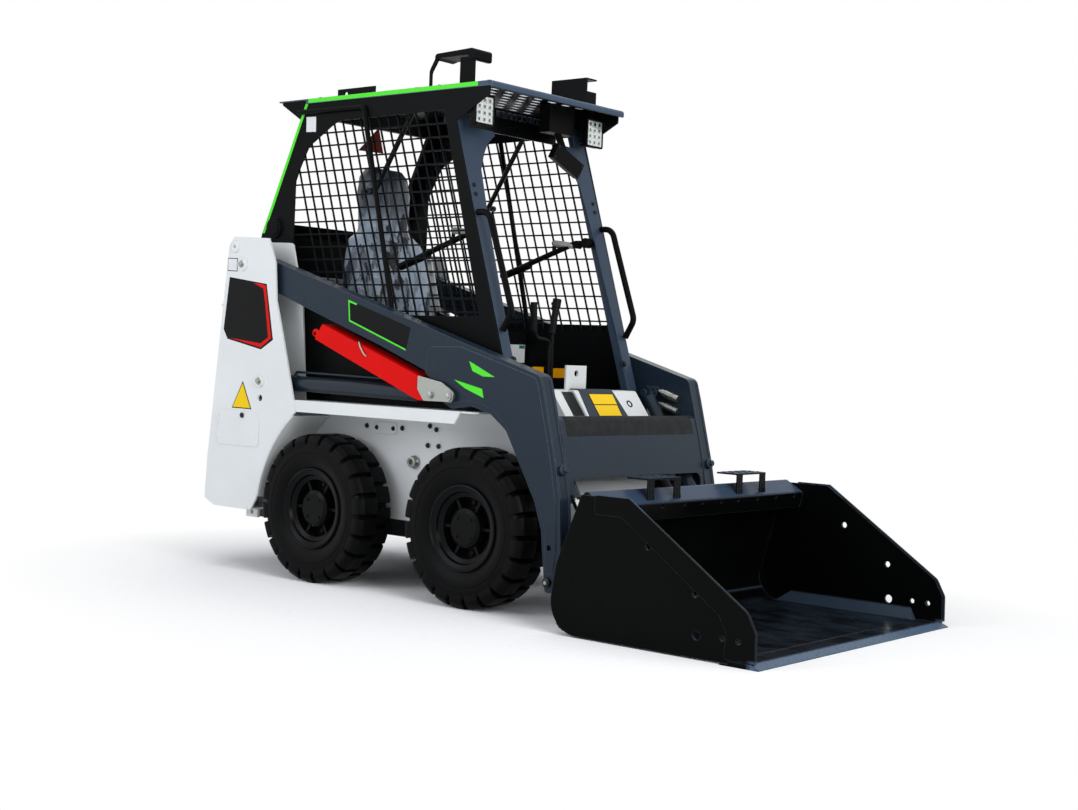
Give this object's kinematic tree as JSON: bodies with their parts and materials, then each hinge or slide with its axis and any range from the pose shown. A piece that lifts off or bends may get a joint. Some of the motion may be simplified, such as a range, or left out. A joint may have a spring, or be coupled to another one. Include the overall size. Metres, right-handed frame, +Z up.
{
  "type": "compact skid steer loader",
  "caption": "Compact electric skid steer loader with a mesh-sided operator cab, pivoting lift arms and a smooth-edged bucket.",
  "frame": {"origin": "on the floor under the middle of the whole machine, bucket down", "axes": "+X forward, +Y to the machine left, +Z up"},
  "size_m": [2.832, 1.28, 2.1268],
  "materials": {
    "white_paint": "satin white paint on steel plate",
    "black_paint": "fine-textured black powder coat",
    "slate_paint": "slate blue-grey paint",
    "red_paint": "bright red paint",
    "zinc_plate": "zinc-plated steel",
    "chrome_rod": "hard chrome plating",
    "cylinder_paint": "dark painted cylinder tube",
    "rim_paint": "black painted pressed steel",
    "tyre_rubber": "solid rubber tyre",
    "seat_vinyl": "black vinyl under clear film",
    "black_plastic": "moulded black plastic",
    "lamp_lens": "clear ribbed lamp lens over reflectors",
    "battery_case": "plain battery case"
  },
  "bodies": {
    "chassis": {"axle_stubs": "black_paint", "battery_block": "battery_case", "cab_floor": "black_paint", "cab_front_posts": "slate_paint", "cab_mesh": "black_paint", "cab_rear_frame": "black_paint", "cab_roof": "black_paint", "cab_sides": "black_paint", "chassis_tub": "white_paint", "control_levers": "black_plastic", "fenders": "white_paint", "front_cover": "slate_paint", "grab_handles": "black_paint", "overhead_console": "black_paint", "rear_hood": "white_paint", "roof_brackets": "black_paint", "roof_lamps": "lamp_lens", "seat_back": "seat_vinyl", "seat_cushion": "seat_vinyl", "towers": "white_paint"},
    "tailgate": {"tailgate": "white_paint"},
    "lap_bar_right": {"lap_bar_right": "black_paint"},
    "lap_bar_left": {"lap_bar_left": "black_paint"},
    "lift_arms": {"lift_arm_frame": "slate_paint", "arm_brace": "red_paint", "pin_plates": "zinc_plate", "hydraulic_couplers": "zinc_plate"},
    "bucket": {"bucket_shell": "black_paint", "coupler_frame": "black_paint"},
    "wheel_front_right": {"rim_front_right": "rim_paint", "tyre_front_right": "tyre_rubber"},
    "wheel_front_left": {"rim_front_left": "rim_paint", "tyre_front_left": "tyre_rubber"},
    "wheel_rear_right": {"rim_rear_right": "rim_paint", "tyre_rear_right": "tyre_rubber"},
    "wheel_rear_left": {"rim_rear_left": "rim_paint", "tyre_rear_left": "tyre_rubber"},
    "lift_barrel_right": {"lift_barrel_right": "cylinder_paint"},
    "lift_rod_right": {"lift_rod_right": "chrome_rod"},
    "tilt_barrel_right": {"tilt_barrel_right": "cylinder_paint"},
    "tilt_rod_right": {"tilt_rod_right": "chrome_rod"},
    "lift_barrel_left": {"lift_barrel_left": "cylinder_paint"},
    "lift_rod_left": {"lift_rod_left": "chrome_rod"},
    "tilt_barrel_left": {"tilt_barrel_left": "cylinder_paint"},
    "tilt_rod_left": {"tilt_rod_left": "chrome_rod"}
  },
  "joints": [
    {"name": "front_right_wheel_spin", "type": "hinge", "parent": "chassis", "child": "wheel_front_right", "pos_m": [0.078, -0.43, 0.29], "axis": [0, 1, 0], "continuous": true},
    {"name": "front_left_wheel_spin", "type": "hinge", "parent": "chassis", "child": "wheel_front_left", "pos_m": [0.078, 0.43, 0.29], "axis": [0, 1, 0], "continuous": true},
    {"name": "rear_right_wheel_spin", "type": "hinge", "parent": "chassis", "child": "wheel_rear_right", "pos_m": [-0.712, -0.43, 0.29], "axis": [0, 1, 0], "continuous": true},
    {"name": "rear_left_wheel_spin", "type": "hinge", "parent": "chassis", "child": "wheel_rear_left", "pos_m": [-0.712, 0.43, 0.29], "axis": [0, 1, 0], "continuous": true},
    {"name": "arm_lift", "type": "hinge", "parent": "chassis", "child": "lift_arms", "pos_m": [-1.168, 0, 1.24], "axis": [0, -1, 0], "range_deg": [0, 70]},
    {"name": "bucket_tilt", "type": "hinge", "parent": "lift_arms", "child": "bucket", "pos_m": [0.46, 0, 0.14], "axis": [0, 1, 0], "range_deg": [-25, 105]},
    {"name": "lift_barrel_swing_right", "type": "hinge", "parent": "chassis", "child": "lift_barrel_right", "pos_m": [-1.039, -0.45, 0.772], "axis": [0, -1, 0], "range_deg": [-2, 65.42]},
    {"name": "lift_rod_slide_right", "type": "slide", "parent": "lift_barrel_right", "child": "lift_rod_right", "axis": [0.9999, 0, -0.0146], "range_m": [-0.002, 0.5396]},
    {"name": "tilt_barrel_swing_right", "type": "hinge", "parent": "lift_arms", "child": "tilt_barrel_right", "pos_m": [0.238, -0.362, 0.79], "axis": [0, 1, 0], "range_deg": [-2, 5.2]},
    {"name": "tilt_rod_slide_right", "type": "slide", "parent": "tilt_barrel_right", "child": "tilt_rod_right", "axis": [0.5383, 0, -0.8428], "range_m": [-0.0753, 0.3098]},
    {"name": "lift_barrel_swing_left", "type": "hinge", "parent": "chassis", "child": "lift_barrel_left", "pos_m": [-1.039, 0.45, 0.772], "axis": [0, -1, 0], "range_deg": [-2, 65.42]},
    {"name": "lift_rod_slide_left", "type": "slide", "parent": "lift_barrel_left", "child": "lift_rod_left", "axis": [0.9999, 0, -0.0146], "range_m": [-0.002, 0.5396]},
    {"name": "tilt_barrel_swing_left", "type": "hinge", "parent": "lift_arms", "child": "tilt_barrel_left", "pos_m": [0.238, 0.362, 0.79], "axis": [0, 1, 0], "range_deg": [-2, 5.2]},
    {"name": "tilt_rod_slide_left", "type": "slide", "parent": "tilt_barrel_left", "child": "tilt_rod_left", "axis": [0.5383, 0, -0.8428], "range_m": [-0.0753, 0.3098]},
    {"name": "tailgate_swing", "type": "hinge", "parent": "chassis", "child": "tailgate", "pos_m": [-1.41, -0.383, 0.7], "axis": [0, 0, 1], "range_deg": [0, 110]},
    {"name": "lap_bar_swing_right", "type": "hinge", "parent": "chassis", "child": "lap_bar_right", "pos_m": [-0.038, -0.3, 1.372], "axis": [0, 1, 0], "range_deg": [0, 60]},
    {"name": "lap_bar_swing_left", "type": "hinge", "parent": "chassis", "child": "lap_bar_left", "pos_m": [-0.038, 0.3, 1.372], "axis": [0, 1, 0], "range_deg": [0, 60]}
  ],
  "couplings": [
    {"joint": "lift_barrel_swing_right", "follows": "arm_lift", "ratio": 0.90597},
    {"joint": "lift_rod_slide_right", "follows": "arm_lift", "m_per_rad": 0.44005},
    {"joint": "tilt_barrel_swing_right", "follows": "bucket_tilt", "ratio": 0.04},
    {"joint": "tilt_rod_slide_right", "follows": "bucket_tilt", "m_per_rad": 0.16794},
    {"joint": "lift_barrel_swing_left", "follows": "arm_lift", "ratio": 0.90597},
    {"joint": "lift_rod_slide_left", "follows": "arm_lift", "m_per_rad": 0.44005},
    {"joint": "tilt_barrel_swing_left", "follows": "bucket_tilt", "ratio": 0.04},
    {"joint": "tilt_rod_slide_left", "follows": "bucket_tilt", "m_per_rad": 0.16794}
  ]
}
